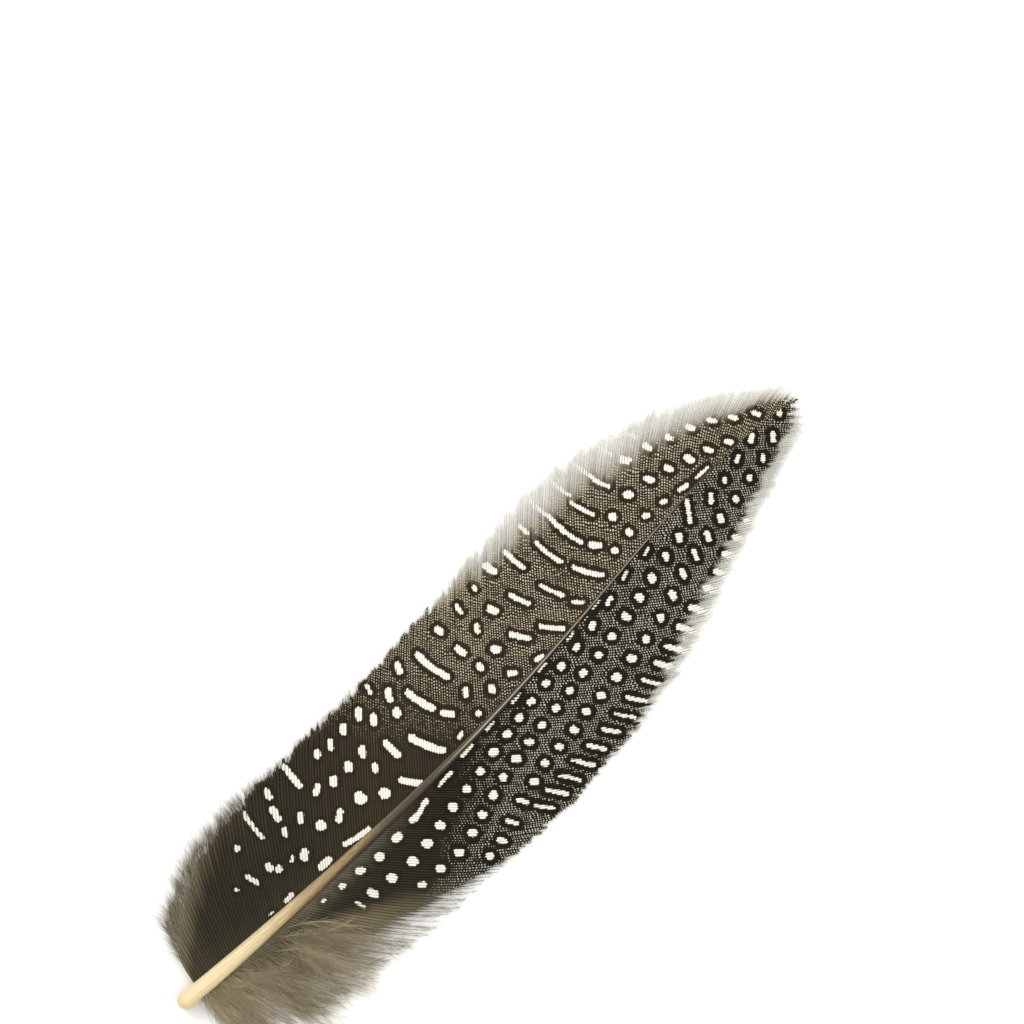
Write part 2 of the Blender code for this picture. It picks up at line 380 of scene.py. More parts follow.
OUTER_LANES = (
    ((0, 28.6, 2.3, 1.6, 0.8, 0), (1, 34.1, 2.4, 3.2, 1.4, 4), (2, 45.2, 2.6, 3.8, 1.7, 0),
     (3, 54.4, 2.0, 8.2, 1.4, 170)),
    ((0, 26.4, 10.9, 1.4, 1.0, 120), (1, 30.6, 10.4, 3.7, 1.3, 107), (2, 35.4, 10.1, 2.5, 1.7, 95),
     (3, 36.6, 8.6, 2.2, 1.7, 60), (4, 40.4, 7.9, 1.9, 1.0, 30), (5, 42.9, 6.9, 3.0, 2.1, 40)),
    ((0, 49.9, 9.0, 2.8, 2.2, 60), (1, 54.3, 8.0, 3.3, 1.7, 38), (2, 60.5, 7.9, 3.1, 2.4, 105),
     (3, 65.1, 4.6, 2.8, 2.5, 120), (4, 71.0, 2.5, 5.4, 1.8, 127)),
    ((0, 43.1, 13.4, 2.9, 1.5, 55), (1, 48.0, 13.4, 3.1, 1.5, 42), (2, 54.5, 15.6, 3.2, 1.6, 38),
     (3, 58.6, 14.4, 2.9, 2.0, 45), (4, 63.4, 14.6, 3.0, 2.1, 55), (5, 68.0, 14.6, 3.2, 1.9, 55)),
    ((0, 67.5, 10.5, 2.8, 1.5, 55), (1, 73.0, 10.8, 4.9, 1.9, 92), (2, 79.2, 5.8, 9.2, 1.7, 114),
     (3, 86.0, 2.2, 2.4, 1.3, 25), (5, 98.1, 4.0, 2.5, 1.8, 60), (6, 103.8, 3.3, 3.0, 1.3, 140),
     (7, 110.0, 1.2, 3.3, 1.1, 162), (8, 117.0, 3.6, 6.4, 1.2, 126), (9, 125.0, 2.6, 3.2, 1.1, 128),
     (10, 131.3, 5.3, 8.0, 1.2, 115), (11, 138.6, 3.8, 1.8, 1.6, 73), (12, 143.9, 4.1, 2.0, 1.6, 88),
     (14, 153.6, 2.6, 2.1, 1.4, 150), (16, 163.9, 0.8, 4.0, 0.8, 175)),
    ((0, 87.4, 7.4, 3.6, 1.8, 128), (1, 93.7, 7.8, 2.7, 1.6, 45), (2, 99.7, 9.2, 2.5, 1.9, 88),
     (3, 105.2, 9.2, 2.7, 2.0, 123), (4, 110.7, 7.4, 5.0, 1.5, 120)),
    ((0, 123.1, 8.5, 7.2, 1.1, 107), (1, 123.1, 8.5, 7.2, 1.1, 107)),
    ((0, 137.1, 8.0, 3.7, 1.5, 126), (1, 143.9, 9.0, 2.3, 1.8, 117), (2, 149.8, 9.5, 2.5, 1.8, 126),
     (4, 159.9, 6.8, 2.6, 1.5, 97), (7, 172.9, 1.7, 2.1, 1.3, 130)),
    ((0, 79.7, 15.4, 2.5, 1.8, 50), (1, 85.1, 13.8, 7.6, 1.7, 104), (2, 92.5, 17.2, 10.2, 1.7, 98),
     (3, 99.6, 14.7, 3.2, 1.8, 93), (4, 105.6, 15.6, 2.7, 1.5, 51), (5, 111.3, 15.6, 3.1, 1.9, 109),
     (6, 117.0, 12.9, 6.0, 1.4, 107), (7, 123.0, 19.1, 7.0, 1.3, 90), (8, 128.9, 14.8, 8.6, 1.2, 92),
     (9, 134.9, 15.4, 9.7, 1.2, 91), (10, 141.2, 15.2, 6.2, 1.1, 101),
     (11, 147.9, 15.6, 4.6, 1.2, 105), (12, 154.9, 15.2, 2.8, 1.9, 118),
     (13, 160.2, 13.2, 2.4, 1.6, 100), (15, 169.0, 9.8, 2.5, 1.4, 115),
     (18, 181.5, 2.6, 2.4, 1.2, 121)),
    ((0, 32.6, 17.9, 1.7, 1.3, 60), (1, 38.7, 19.0, 8.0, 1.3, 86), (2, 44.2, 17.6, 4.0, 1.9, 82),
     (3, 45.5, 22.2, 2.8, 1.6, 75), (4, 52.3, 21.2, 7.2, 1.6, 88), (5, 60.0, 21.4, 2.4, 1.8, 55),
     (6, 63.8, 20.6, 3.0, 1.5, 52), (7, 68.4, 20.9, 3.0, 1.7, 50), (8, 73.0, 21.1, 3.0, 1.6, 50)),
    ((0, 74.8, 17.8, 3.3, 1.6, 50), (1, 80.9, 19.6, 3.6, 1.6, 55), (2, 87.1, 21.8, 2.9, 1.5, 60)),
    ((0, 78.6, 23.3, 3.0, 1.2, 75), (1, 99.4, 21.2, 2.8, 2.0, 100), (2, 106.4, 21.4, 3.2, 1.3, 70),
     (3, 112.3, 21.6, 1.9, 1.2, 70), (4, 117.7, 21.9, 3.6, 2.0, 95)),
    ((0, 129.5, 22.2, 3.6, 1.0, 86), (1, 135.0, 22.7, 5.0, 1.0, 88), (2, 141.2, 21.8, 6.5, 0.9, 92),
     (3, 147.6, 20.6, 6.5, 0.9, 95), (4, 153.6, 20.6, 7.0, 0.9, 98), (5, 159.6, 18.4, 5.0, 0.9, 100)),
)
MARK_DRIFT = 0.22        # mm that a mark may lie off its lane
BAR_BEND = -42.0         # radians per metre of bar, going outwards
MARK_GROWTH = 0.10       # share by which a mark's size may differ
chance = np.random.default_rng(20)


# %% Marks from the lanes


def marks_of(lanes):
    """One row for each mark: along, across, half length of its line, its radius, and its lean."""
    rows = []
    for lane in lanes:
        number = np.arange(lane[0][0], lane[-1][0] + 1, dtype=float)
        read = np.stack([through_knots(number, lane, column) for column in range(1, 6)], -1)
        if lane[0][1] == lane[-1][1]:
            read = read[:1]
        rows.append(read)
    marks = np.concatenate(rows)
    marks[:, :2] += MARK_DRIFT * chance.uniform(-1, 1, (len(marks), 2))
    marks[:, 2:4] *= 1 + MARK_GROWTH * chance.uniform(-1, 1, (len(marks), 2))
    radius = marks[:, 3] / 2
    line = np.maximum(marks[:, 2] / 2 - radius, 0.0)
    return np.stack((marks[:, 0], marks[:, 1], line, radius, np.radians(marks[:, 4])), -1) \
        * (MM, MM, MM, MM, 1.0)


def distance_to_marks(along, across, marks, bend):
    """For each place the least of (distance to a mark's line - its radius): below zero inside.
    The line is a flat parabola, bend / 2 * (x^2 - half length^2 / 3), so long bars are bowed."""
    nearest = np.full(along.shape, 1.0)
    for place, out, line, radius, lean in marks:
        d_along, d_across = along - place, across - out
        x = d_along * np.cos(lean) + d_across * np.sin(lean)
        y = d_across * np.cos(lean) - d_along * np.sin(lean)
        y = y - bend / 2 * (x * x - line * line / 3)
        off = np.hypot(x - np.clip(x, -line, line), y)
        nearest = np.minimum(nearest, off - radius)
    return nearest


INNER_MARKS = marks_of(INNER_LANES)
OUTER_MARKS = marks_of(OUTER_LANES)
print("marks on the inner and outer vane:", len(INNER_MARKS), len(OUTER_MARKS))

# %% [markdown]
# ## The vanes
#
# A barb's strip is a flat roof: a crest near its middle, where its own shaft runs, and two
# slopes of barbules. Each slope reaches a little under the next barb, as on the real feather,
# so the vane closes with fine ridges. The strip's width is measured in gaps to the neighbours,
# so the strips draw together by themselves where the barbs do. Past the held share the strip
# narrows to a single hair and wanders off.
#
# The colours need to know where they are on the feather, so each point also carries: how far
# along the barb and along the shaft it is, the barb's number, its place across the strip, its
# distance to the nearest mark, how frayed and how downy the vane is there, and how dense the
# speckles are.

# %% The vanes
BARBS = 244
STEPS = 74
STEP_POWER = 0.92        # below 1, so that the steps are closer towards a barb's end
STRIP_SPAN = (-0.56, -0.05, 0.58)      # edges and crest across, in gaps between barbs
UNDER_SPAN = (0.36, -0.34)             # the two lower edges
CREST = 0.00005          # height of the crest over the edges
TUCK = 0.00004           # how far the edge is pushed under the next barb
STRIP_WALL = 0.00013
HAIR_WIDTH = 0.00012     # of a barb past its last hooks
BARB_UNEVEN = 0.03       # share of its length that a lock of barbs may lose
TIP_LOST = 0.04          # and a single one
WORN_UNEVEN = 0.008      # how far WORN_END goes up and down, in shares of the shaft
BARB_WAVE = 0.00010      # how high the middle of a barb may rise or sink
FLUTTER = 0.00025        # how high its loose end may rise
LOOSE_WANDER = 0.0008    # how far it may wander sideways
OPENING = 0.72           # share of a barb's width that is lost towards a frayed end
MARK_RAGGED = 0.00010    # by which the marks' outline differs from barb to barb
MARK_CROSSING = 0.5      # share of a mark's outline that runs on across a barb


# %% Uneven numbers and directions


def smooth_random(count, reach, source):
    """Random numbers smoothed over reach neighbours and scaled back to about -1 to 1."""
    window = np.hanning(reach + 2)[1:-1]
    rough = source.standard_normal(count + reach)
    held = np.convolve(rough, window / np.sqrt((window ** 2).sum()), "valid")[:count]
    return np.clip(held / 2, -1.2, 1.2)


def uneven(reach, shared, own, source):
    """A number for each barb: shared * what neighbours within reach have alike + own * its luck."""
    return shared * smooth_random(BARBS, reach, source) + own * source.uniform(-1, 1, BARBS)


def ahead_and_gap(places):
    """For places[barb, step]: the direction along the barb, and the way from barb to barb less its
    part along that direction."""
    ahead = unit(np.gradient(places, axis=1))
    step = np.gradient(places, axis=0)
    return ahead, step - ahead * (step * ahead).sum(-1, keepdims=True)


# %% Where each barb runs


def even_roots(knots):
    """Roots for barbs that are evenly spaced by the mean of their distances at the shaft and half
    of the way out, so that they stand closer where they fan out."""
    fine = np.linspace(knots[0][0], knots[-1][0], 500)
    half_along, half_across = barb_path(fine, knots, 0.5)
    step = np.hypot(np.diff(half_along), np.diff(half_across)) + np.diff(fine) * SHAFT_LENGTH
    return np.interp(np.linspace(0, 1, BARBS), np.append(0, np.cumsum(step)) / step.sum(), fine)


def barb_field(knots, seed):
    """Everything that is known for each barb and step. Barbs are cut a little unevenly and end at
    the latest where root + what they reach, with a slant, comes to WORN_END. Past the held share
    they wander off by loose * drift + loose * curl * sin(5 t + 90 root)."""
    source = np.random.default_rng(seed)
    root = even_roots(knots)
    t = (np.arange(STEPS) / (STEPS - 1)) ** STEP_POWER
    lock = smooth_random(BARBS, 9, source)
    cut = 1 - BARB_UNEVEN * (0.5 + 0.5 * lock) - TIP_LOST * source.random(BARBS) ** 2
    end_along, end_across = barb_path(root, knots, 1.0)
    to_limit = WORN_END + WORN_UNEVEN * source.uniform(-1, 1, BARBS) - root
    cut = cut * np.minimum(to_limit / (end_along / SHAFT_LENGTH - root + WORN_SLANT * end_across), 1.0)
    held = np.minimum(through_knots(root, knots, 4) + uneven(5, 0.025, 0.02, source), 0.985)
    loose = soft_step(0.0, 1.0, (t - held[:, None]) / np.maximum(1 - held[:, None], 0.05))
    start = through_knots(root, knots, 5) + uneven(7, 0.05, 0.03, source)
    fray = np.clip((t - start[:, None]) / np.maximum(1.04 - start[:, None], 0.05), 0.0, 1.0)
    fray = fray * soft_step(0.32, 0.50, root)[:, None]
    along, across = barb_path(root[:, None], knots, t[None, :], cut[:, None])
    drift = LOOSE_WANDER * uneven(6, 0.7, 0.3, source)
    curl = LOOSE_WANDER * 0.5 * source.uniform(-1, 1, BARBS)
    wander = loose * drift[:, None] + loose * curl[:, None] * np.sin(5 * t[None, :] + root[:, None] * 90)
    return {"root": root, "t": t, "held": held, "loose": loose, "along": along - wander * 0.7,
            "across": across + wander * 0.7, "cut": cut, "fray": fray, "source": source}


# %% Strips for the barbs


def strip_points(field, knots, sign):
    """Each ring holds three points above (edge, crest, edge) and two below. Sideways they are
    shares of the step from barb to barb, and the middle lies on the vane's height."""
    along, across, t = field["along"], field["across"], field["t"]
    lift = vane_height(along, across, knots)
    source = field["source"]
    wave = BARB_WAVE * smooth_random(BARBS, 30, source)[:, None] * np.sin(np.pi * t)[None, :]
    flutter = FLUTTER * source.uniform(0, 1, BARBS)[:, None] * field["loose"]
    centre = laid_out(along, sign * across, lift + wave + flutter)
    ahead, gap = ahead_and_gap(centre)
    width = np.linalg.norm(gap, axis=-1, keepdims=True)
    beside = gap / np.maximum(width, 1e-9)
    up = unit(np.cross(ahead, beside))
    up = up * np.sign(up[..., 2:])
    closed = 1 - soft_step(0.0, 0.5, field["loose"])[..., None]
    closed = closed * (1 - OPENING * soft_step(0.10, 0.75, field["fray"])[..., None])
    taper = 1 - 0.62 * soft_step(0.3, 1.0, field["loose"])[..., None]
    relief = 0.3 + 0.7 * soft_step(0.10, 0.30, field["root"])[:, None, None]
    full = width * closed + HAIR_WIDTH * taper * (1 - closed)
    rise = closed * CREST * relief + (1 - closed) * HAIR_WIDTH * 0.4 * taper
    tuck = closed * TUCK * relief
    wall = closed * STRIP_WALL + (1 - closed) * HAIR_WIDTH * 0.5 * taper
    left, crest, right = STRIP_SPAN
    ring = [
        centre + beside * full * left,
        centre + beside * full * crest + up * rise,
        centre + beside * full * right - up * tuck,
        centre + beside * full * UNDER_SPAN[0] - up * (wall + tuck),
        centre + beside * full * UNDER_SPAN[1] - up * wall,
    ]
    points = np.stack(ring, axis=2)
    return points if sign > 0 else points[:, :, ::-1]


def strip_map(barbs, rings, sign):
    """Upper faces fill the left half of the map and lower faces the right half: u runs along the
    barb, and each barb has its own row in v. A span is a side's two ends as (half, v)."""
    spans = [((0.0, 0.0), (0.0, 0.47)), ((0.0, 0.47), (0.0, 1.0)), ((0.5, 1.0), (0.5, 0.80)),
             ((0.5, 0.80), (0.5, 0.20)), ((0.5, 0.20), (0.5, 0.0))]
    if sign < 0:
        spans = [spans[(3 - k) % 5][::-1] for k in range(5)]
    low, high = np.array(spans)[:, 0], np.array(spans)[:, 1]
    ring = np.arange(rings - 1)[:, None] / (rings - 1)
    u_low = low[:, 0] + 0.005 + 0.485 * ring
    u_high = low[:, 0] + 0.005 + 0.485 * (ring + 1 / (rings - 1))
    u = np.stack((u_low, u_low, u_high, u_high), -1)
    v = np.stack((low[:, 1], high[:, 1], high[:, 1], low[:, 1]), -1)
    v = np.broadcast_to(v[None], u.shape)
    number = np.arange(barbs)[:, None, None, None]
    quads = np.stack(np.broadcast_arrays(u[None], (number + 0.08 + 0.84 * v[None]) / barbs), -1)
    turn = 2 * np.pi * np.arange(5) / 5
    row = np.arange(barbs)[:, None]
    caps = [np.stack((middle + 0.002 * np.cos(turn) + 0 * row, (row + 0.5 + 0.3 * np.sin(turn)) / barbs), -1)
            for middle in (0.0025, 0.9965)]
    return np.concatenate((quads.reshape(-1, 2), np.concatenate(caps).reshape(-1, 2)))


# %% Numbers for the colours


def vane_facts(field, knots, marks, outer):
    """The numbers that the colours read, each as an array of barbs by steps."""
    along, across, t, root = field["along"], field["across"], field["t"], field["root"][:, None]
    source = field["source"]
    gap = ahead_and_gap(np.stack((along, across), -1))[1]
    crossing = 1 - (1 - MARK_CROSSING) * soft_step(0.002, 0.005, across)
    strip = crossing[..., None] * np.array(STRIP_SPAN + UNDER_SPAN)
    near_along = along[..., None] + gap[..., :1] * strip
    near_across = across[..., None] + gap[..., 1:] * strip
    to_mark = distance_to_marks(near_along, near_across, marks, BAR_BEND if outer else 0.0)
    ragged = source.uniform(-1, 1, BARBS)[:, None] * soft_step(0.0, 0.006, across + 0.002)
    to_mark = to_mark + MARK_RAGGED * ragged[..., None]
    share = along / SHAFT_LENGTH
    out = across / np.maximum(half_width(along, knots), SHAFT_LENGTH / 100)
    clear = across / MM / (1 - 0.9 * soft_step(0.55, 0.90, share))
    luck = uneven(9, 0.08, 0.05, source)[:, None]
    past = t[None, :] - field["held"][:, None] + 0.6 * luck
    if outer:
        speckle = soft_step(0.33, 0.56, share + 0.10 * (out - 0.5)) * soft_step(0.1, 0.8, clear)
        downy = soft_step(-0.25, 0.20, past) * (1 - soft_step(0.06, 0.17, root))
    else:
        speckle = soft_step(0.29, 0.48, share + 0.22 * (out - 0.5)) * soft_step(0.2, 1.3, clear)
        downy = soft_step(-0.32, -0.02, past) * (1 - soft_step(0.17, 0.25, root))
    at_quill = 1 - soft_step(0.01, 0.08, root + 0.08 * luck)
    downy = np.maximum(downy, at_quill * (0.15 + 0.5 * t[None, :]))
    number = np.arange(BARBS)[:, None] + 0 * along
    length = through_knots(field["root"], knots, 1) * SHAFT_LENGTH * field["cut"]
    far = length[:, None] * t[None, :]
    return {"far": far / MM, "barb": number, "mark": to_mark / MM, "frayed": field["fray"],
            "downy": downy + 0 * along, "speckle": speckle, "share": share}


# %% Both vanes


def make_vane(name, knots, marks, sign, seed):
    """A vane from its barbs, each a tube of rings with five points. Returns what its fringe needs:
    the barbs' field, and the facts with one distance to a mark for each step."""
    field = barb_field(knots, seed)
    points = strip_points(field, knots, sign)
    facts = vane_facts(field, knots, marks, sign > 0)
    attributes = {key: values if values.ndim == 3 else values[:, :, None]
                  for key, values in facts.items()}
    attributes["strip"] = np.array([[[-1.0, 0.0, 1.0, 0.6, -0.6]]])
    attributes["under"] = np.array([[[0.0, 0.0, 0.0, 1.0, 1.0]]])
    if sign < 0:
        attributes = {key: values[:, :, ::-1] for key, values in attributes.items()}
    facts["mark"] = facts["mark"][:, :, 1]
    mesh_from_rings(name, points, strip_map(BARBS, STEPS, sign), attributes)
    return field, facts


outer_field, outer_facts = make_vane("outer_vane", OUTER_VANE, OUTER_MARKS, 1, 3)
inner_field, inner_facts = make_vane("inner_vane", INNER_VANE, INNER_MARKS, -1, 4)

# %% [markdown]
# ## The frayed edge
#
# Past its last hooks a barb still carries barbules, thin hairs on both sides that now stand
# free. They are what makes the edge look like mist. Each is a three-sided tube of four rings:
# with thousands of them, more faces would buy nothing that a viewer can see.

# %% Loose barbules
HAIR_RINGS = 4
FRINGE_HAIRS = 3600
BARBULE_RADIUS = 0.000024
BARBULE_DEPTH = 0.00010  # of its root below the vane's upper face


def hair_reach(root):
    """Barbules are longest in the down at the base and short at the tip."""
    return MM * (1.7 + 2.2 * (1 - soft_step(0.08, 0.20, root)) - 0.5 * soft_step(0.7, 0.95, root))


def barbules(name, field, facts, knots, sign, seed):
    """Hairs from random places on the loose parts of the barbs, more where those are longer. A hair
    goes start + s * (ahead * cos + beside * sin of its angle) + s^2 * bend, s up to its length."""
    source = np.random.default_rng(seed)
    along, across, t = field["along"], field["across"], field["t"]
    held, root = field["held"], field["root"]
    share_of = (1.05 - held) * through_knots(root, knots, 1) * (1 - 0.85 * soft_step(0.14, 0.32, root))
    rank = np.sort(source.choice(BARBS, FRINGE_HAIRS, p=share_of / share_of.sum()))
    at = held[rank] - 0.03 + (1.0 - held[rank] + 0.02) * source.random(len(rank)) ** 0.9
    place = np.clip(np.interp(at, t, np.arange(STEPS)), 0, STEPS - 2.001)
    low = place.astype(int)
    part = place - low

    def read(values):
        return values[rank, low] * (1 - part) + values[rank, low + 1] * part

    start = np.stack((read(along), read(across)), -1)
    ahead = unit(np.stack((along[rank, low + 1] - along[rank, low],
                           across[rank, low + 1] - across[rank, low]), -1))
    beside = np.stack((-ahead[:, 1], ahead[:, 0]), -1)
    side = np.where(source.random(len(rank)) < 0.5, -1.0, 1.0)
    widest = np.where(root[rank] > 0.3, 18, 34)
    angle = np.radians(source.uniform(6, widest)) * side
    length = hair_reach(root[rank]) * source.uniform(0.55, 1.25, len(rank))
    bend = source.uniform(-0.25, 0.10, len(rank)) * side
    s = np.linspace(0, 1, HAIR_RINGS)[None, :, None]
    way = ahead * np.cos(angle)[:, None] + beside * np.sin(angle)[:, None]
    path = start[:, None] + way[:, None] * (s * length[:, None, None]) \
        + beside[:, None] * (s * s * (bend * length)[:, None, None])
    path_along, path_across = path[..., 0], np.maximum(path[..., 1], 0.0)
    lift = vane_height(path_along, path_across, knots) - BARBULE_DEPTH
    rise = source.uniform(-0.00015, 0.0005, len(rank))[:, None] * s[:, :, 0]
    centre = laid_out(path_along, sign * path_across, np.maximum(lift + rise, BARBULE_RADIUS * 2))
    radii = BARBULE_RADIUS * (1 - 0.6 * s[:, :, 0]) * source.uniform(0.7, 1.2, len(rank))[:, None]
    given = {key: read(facts[key])[:, None, None] for key in ("frayed", "downy", "mark")}
    given["hair"] = s + 0 * rank[:, None, None]
    mesh_from_rings(name, hair_rings(centre, radii), tube_map(len(rank), HAIR_RINGS), given)


barbules("outer_fringe", outer_field, outer_facts, OUTER_VANE, 1, 5)
barbules("inner_fringe", inner_field, inner_facts, INNER_VANE, -1, 6)

# %% [markdown]
# ## The down at the base
#
# The lowest barbs have no hooks at all. Their barbules are long, soft and tangled, which traps
# air and keeps the bird warm. A second set of loose barbs is laid over the inner vane's own,
# where the photograph shows most of it. Their paths wander by a sine each. They start just under
# the vane and come free further out, and every one carries its cloud of hairs.

# %% Down
DOWN_RINGS = 14
DOWN_LOCKS = 24
DOWN_BARBS = 192
DOWN_HAIRS = 50
DOWN_RADIUS = 0.00006
DOWN_LOWEST = 0.0001     # least height of its middle over the table
DOWN_SUNK = 0.0004       # how far a barb of down runs under the vane before it comes free
DOWN_WIDEST = 93         # degrees from the shaft's direction that no barb of down goes past


def down_paths(source):
    """A barb of down leaves the quill, bends to the tip and waves: its angle is start + bend * s
    + a sine, and its path is the running sum of that direction. Barbs of one lock go alike."""
    lock = np.arange(DOWN_BARBS) % DOWN_LOCKS
    root = np.linspace(0.030, 0.158, DOWN_LOCKS)[lock]
    root = root + source.uniform(-0.005, 0.005, DOWN_BARBS)
    reach = np.interp(root, (0.03, 0.07, 0.12, 0.20), (0.017, 0.025, 0.027, 0.024))
    reach = reach * source.uniform(0.5, 1.08, DOWN_BARBS)
    s = np.linspace(0, 1, DOWN_RINGS)

    def lock_and_own(low, high, own):
        shared = source.uniform(low, high, DOWN_LOCKS)[lock]
        return (shared + source.uniform(-own, own, DOWN_BARBS))[:, None]

    leaving = np.interp(root, (0.03, 0.12, 0.20), (88, 78, 60))[:, None]
    start = np.radians(lock_and_own(-14, 14, 7) + leaving)
    bend = np.radians(lock_and_own(-60, 25, 22))
    wave = lock_and_own(0.15, 0.55, 0.15) * np.sin(lock_and_own(4, 8, 1) * s + lock_and_own(0, 6, 0.7))
    angle = np.minimum(start + bend * s + wave, np.radians(DOWN_WIDEST))
    step = reach[:, None] / (DOWN_RINGS - 1)
    along = np.cumsum(np.cos(angle) * step, 1) - np.cos(angle[:, :1]) * step
    across = np.cumsum(np.sin(angle) * step, 1) - np.sin(angle[:, :1]) * step
    return lock, root, s, root[:, None] * SHAFT_LENGTH + along, np.abs(across)


# %% Barbs of down and their hairs


def make_down():
    """Barbs of down on their paths, lifted by a sine and sunk until they come free. A hair goes
    start + (way * u + curl * u^2) * length, u from 0 to 1."""
    source = np.random.default_rng(8)
    lock, root_of, s, along, across = down_paths(source)
    height = vane_height(along, across, INNER_VANE)
    height = height + source.uniform(-0.0002, 0.0012, DOWN_BARBS)[:, None] * np.sin(2.6 * s)
    free_at = np.interp(root_of, (0.04, 0.10, 0.16), (0.04, 0.24, 0.42))
    height = height - DOWN_SUNK * (1 - soft_step(-0.12, 0.06, s - free_at[:, None]))
    spine = laid_out(along, -across, np.maximum(height, DOWN_LOWEST))
    rank = np.repeat(np.arange(DOWN_BARBS), DOWN_HAIRS)
    start_at = free_at[rank]
    out_share = start_at + (1 - start_at) * source.random(len(rank))
    place = out_share * (DOWN_RINGS - 1.01)
    low = place.astype(int)
    part = (place - low)[:, None]
    start = spine[rank, low] * (1 - part) + spine[rank, low + 1] * part
    ahead = unit(spine[rank, low + 1] - spine[rank, low])
    level = unit(np.cross(np.array([0.0, 0.0, 1.0]), ahead))
    side = np.where(source.random(len(rank)) < 0.5, -1.0, 1.0)[:, None]
    angle = np.radians(source.uniform(8, 36, len(rank)))[:, None]
    length = MM * source.uniform(1.4, 3.8, len(rank))[:, None]
    way = ahead * np.cos(angle) + level * side * np.sin(angle)
    way[:, 2] += source.uniform(-0.15, 0.22, len(rank))
    u = np.linspace(0, 1, HAIR_RINGS)[None, :, None]
    curl = (ahead * source.uniform(-0.2, 0.6, (len(rank), 1)))[:, None] * (u * u)
    hairs = start[:, None] + (way[:, None] * u + curl) * length[:, None]
    hairs[..., 2] = np.maximum(hairs[..., 2], DOWN_RADIUS)
    hair_radii = BARBULE_RADIUS * 0.9 * (1 - 0.6 * u[..., 0]) + 0 * rank[:, None]
    lock_tone = source.uniform(0, 1, DOWN_LOCKS)[lock]
    barb_tone = soft_step(0.15, 0.85, 0.45 * lock_tone + 0.55 * source.uniform(0, 1, DOWN_BARBS))
    grey = 0.75 * barb_tone[rank] + 0.25 * source.uniform(0, 1, len(rank))
    # Painted shade: hairs near the start of down barbs that root further up, by the vane, are darker, and
    # lighter further out
    unshaded_share = np.interp(root_of, (0.08, 0.16), (1.0, 0.40))[rank]
    grey = (grey * (unshaded_share + (1 - unshaded_share) * soft_step(0.25, 0.75, out_share)))[:, None, None]
    mesh_from_rings("down_barbules", hair_rings(hairs, hair_radii), tube_map(len(rank), HAIR_RINGS),
                    {"tone": grey, "hair": u[..., 0][:, :, None] + 0 * grey})
    radii = DOWN_RADIUS * (1.3 - s)[None, :] + 0 * along
    tone = barb_tone[:, None, None] * soft_step(0.1, 0.5, s)[None, :, None]
    mesh_from_rings("down_barbs", hair_rings(spine, radii), tube_map(DOWN_BARBS, DOWN_RINGS),
                    {"tone": tone, "hair": s[None, :, None] + 0 * tone})


make_down()

# %% [markdown]
# ## Quill and shaft
#
# The quill is a clear, hollow tube of horn with a rounded end and a small closed hole where it
# fed. Further up it turns solid, squarer, and grooved underneath. A turned shape could not bend
# along the feather, so the section is carried along the shaft's line: a circle at the quill that
# becomes a rounded square, with a groove that grows from nothing.

# %% Quill and shaft
SHAFT_SIDES = 40
SHAFT_RINGS = 300
CAP_RINGS = 13           # of them on the rounded end
QUILL_CAP = 0.0022       # length of the rounded end
SQUARENESS = 0.06        # k in the formula below
GROOVE = 0.28            # depth of the groove, in radii
GROOVE_WIDTH = 0.35      # radians from its middle to where it is a third as deep


def make_shaft():
    """Ring radius is the taper times a squareness 1 - k cos(4 turn), times a groove 1 - depth *
    exp(-(turn from the underside / width)^2). The end is rounded like a quarter of a circle."""
    share = np.concatenate((np.linspace(0, QUILL_CAP / SHAFT_LENGTH, CAP_RINGS + 1)[:-1],
                            np.linspace(QUILL_CAP / SHAFT_LENGTH, 1.0, SHAFT_RINGS - CAP_RINGS)))
    cap = np.clip(share * SHAFT_LENGTH / QUILL_CAP, 0.0, 1.0)
    radius = shaft_radius(share) * np.sqrt(np.maximum(1 - (1 - cap) ** 2, 0.012))
    radius = radius * (1 - 0.6 * soft_step(0.75, 1.0, share))
    turn = 2 * np.pi * np.arange(SHAFT_SIDES) / SHAFT_SIDES
    solid_part = soft_step(0.10, 0.30, share)[:, None]
    square = 1 - SQUARENESS * solid_part * np.cos(4 * turn)[None, :]
    to_under = np.abs((turn + np.pi / 2 + np.pi) % (2 * np.pi) - np.pi)[None, :]
    groove = 1 - GROOVE * solid_part * np.exp(-(to_under / GROOVE_WIDTH) ** 2)
    size = radius[:, None] * square * groove
    along = share[:, None] * SHAFT_LENGTH + 0 * turn
    across = size * np.cos(turn)[None, :]
    flat = 1 - 0.18 * soft_step(0.3, 0.8, share)[:, None]
    height = axis_height(share)[:, None] + size * flat * np.sin(turn)[None, :]
    rings = laid_out(along, across, height)[None, :, ::-1]
    attributes = {"share": share[None, :, None], "side": np.cos(turn)[None, None, ::-1],
                  "crest": np.sin(turn)[None, None, ::-1]}
    mesh_from_rings("quill_and_shaft", rings, tube_map(1, SHAFT_RINGS, SHAFT_SIDES), attributes)


make_shaft()

# %% [markdown]
# ## Tools for materials
#
# A material is a small graph of nodes. `put` adds one node and plugs in whatever it is given: an
# amount is linked, a number is typed in. Most nodes here only calculate, and a long chain of Math
# nodes is hard to read when it is written out. So a node's output comes back as an `Amount`,
# which adds and multiplies like a number, and each such sign puts a Math node into the graph.
# Effects used in more than one material are node groups.

# %% Node helpers


class Amount:
    """A node's output that can be calculated with: each of + - * / adds one Math node."""

    def __init__(self, socket):
        self.socket = socket

    def __add__(self, other):
        return calc("ADD", self, other)

    def __sub__(self, other):
        return calc("SUBTRACT", self, other)

    def __rsub__(self, other):
        return calc("SUBTRACT", other, self)

    def __mul__(self, other):
        return calc("MULTIPLY", self, other)

    def __truediv__(self, other):
        return calc("DIVIDE", self, other)

    def __abs__(self):
        return calc("ABSOLUTE", self)


